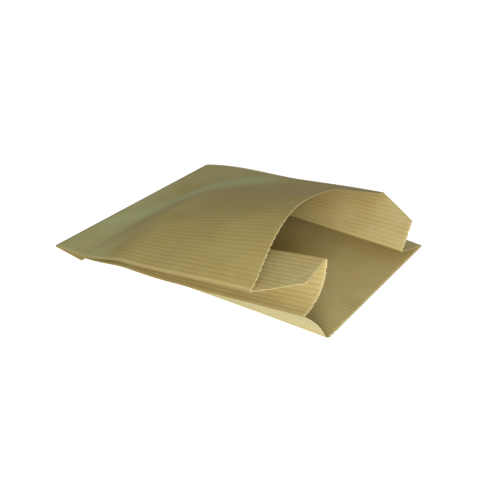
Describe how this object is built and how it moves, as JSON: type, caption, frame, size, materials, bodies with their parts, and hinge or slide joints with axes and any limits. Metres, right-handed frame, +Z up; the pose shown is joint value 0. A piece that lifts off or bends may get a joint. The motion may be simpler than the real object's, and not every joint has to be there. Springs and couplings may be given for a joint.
{
  "type": "paper bag",
  "caption": "Ribbed kraft paper pastry bag with side gussets, lying on its back, flat at the folded end and gaping at the toothed mouth.",
  "frame": {"origin": "middle of the bag's box, on the surface that it lies on", "axes": "+X along the bag from the folded end to the mouth, +Y across it to the far side gusset, +Z up"},
  "size_m": [0.226, 0.1806, 0.0737],
  "materials": {
    "kraft_paper": "matt, with fine machine ribs along its length"
  },
  "bodies": {
    "root": {"paper_bag": "kraft_paper"}
  },
  "joints": []
}
